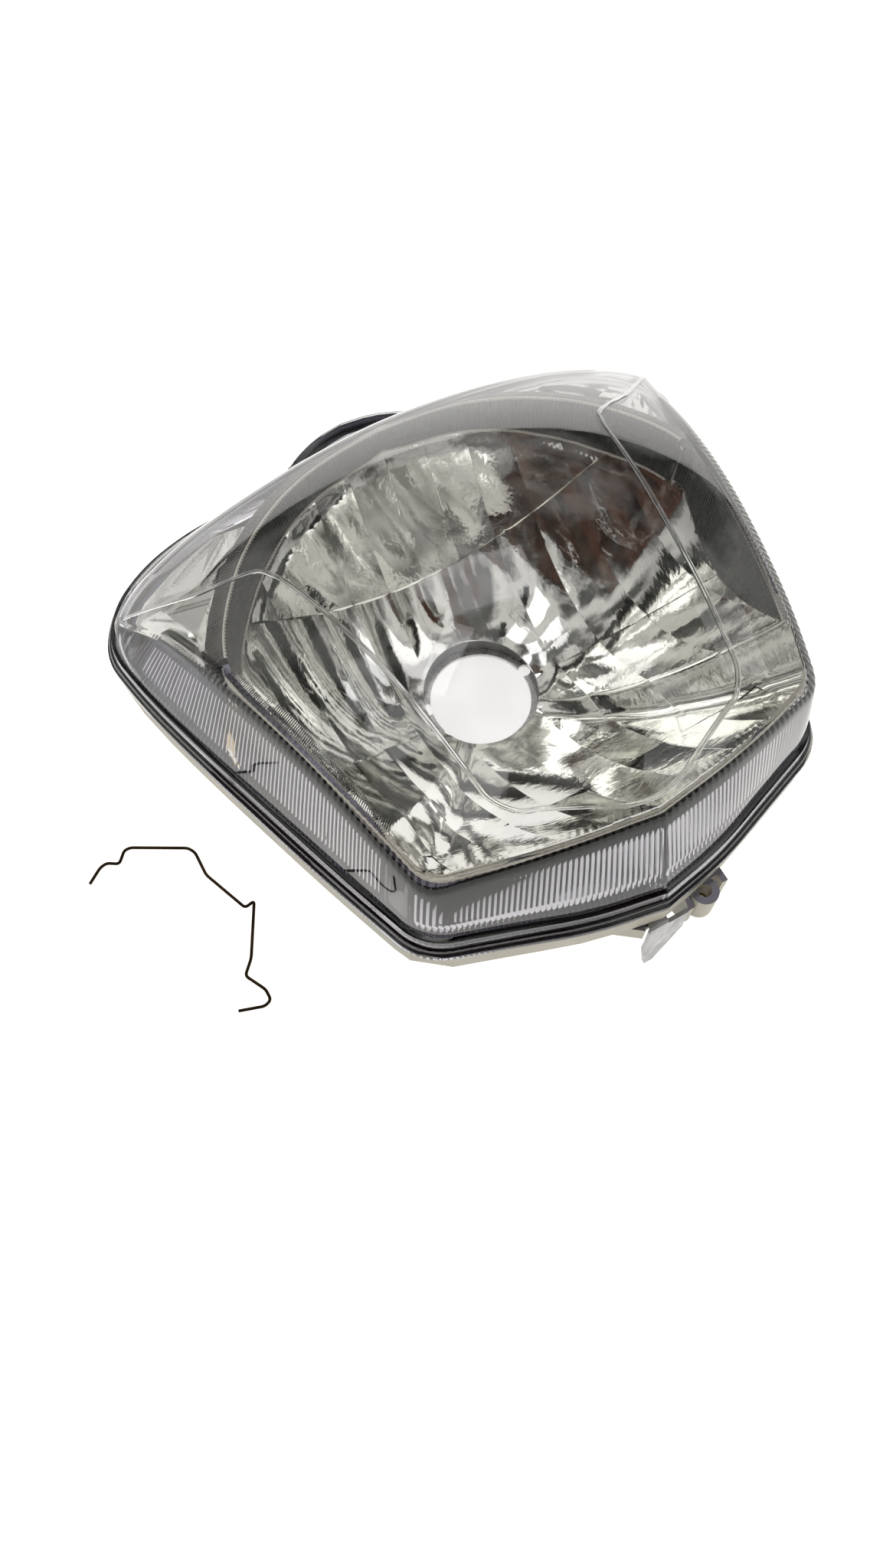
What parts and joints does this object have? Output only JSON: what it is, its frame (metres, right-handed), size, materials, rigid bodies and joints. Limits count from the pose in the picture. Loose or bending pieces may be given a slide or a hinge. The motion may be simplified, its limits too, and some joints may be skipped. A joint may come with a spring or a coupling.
{
  "type": "headlight assembly",
  "caption": "Sealed headlight optical unit lying on its back: clear domed cover over a faceted mirror reflector with a black trim surround, bulb opening, aiming bracket and a loose wire bulb clip.",
  "frame": {"origin": "centre of the footprint on the table that the unit lies on, clip included", "axes": "+Z up from the table, out through the domed cover (the lamp's forward direction); +Y from the bracket end towards the wide trim end (the lamp's top); +X to the lamp's right side seen from in front with +Y up"},
  "size_m": [0.2506, 0.2058, 0.112],
  "materials": {
    "clear_cover": "clear polycarbonate, polished, faint violet tint at the edges",
    "sealant": "soft black sealing bead",
    "reflector": "moulded shell, bright aluminised mirror inside, bare grey-beige moulding outside",
    "black_trim": "black fluted trim with a warm grey front shoulder",
    "bright_trim": "aluminised mirror facets",
    "steel_screw": "zinc plated",
    "seat_steel": "stamped bright sheet steel",
    "brass": "machined brass",
    "grey_plate": "folded plate, satin grey",
    "vent_rubber": "matt black moulded rubber",
    "spring_wire": "dark bronze oil-tempered spring wire"
  },
  "bodies": {
    "lamp": {"outer_lens": "clear_cover", "lens_seal": "sealant", "reflector_shell": "reflector", "inner_bezel": "black_trim", "corner_reflector_left": "bright_trim", "corner_reflector_right": "bright_trim", "bezel_screw_left": "steel_screw", "bezel_screw_right": "steel_screw", "corner_screw_left": "steel_screw", "corner_screw_right": "steel_screw", "bulb_seat_ring": "seat_steel", "clip_tab": "seat_steel", "clip_tab_screw": "steel_screw", "aim_nut": "brass", "aim_plate": "grey_plate", "mount_insert_left": "brass", "mount_insert_right": "brass", "vent_cap_left": "vent_rubber", "vent_cap_right": "vent_rubber"},
    "clip": {"bulb_clip": "spring_wire"}
  },
  "joints": [
    {"name": "clip_lift", "type": "slide", "parent": "lamp", "child": "clip", "axis": [0, 0, 1], "range_m": [0, 0.06]}
  ]
}
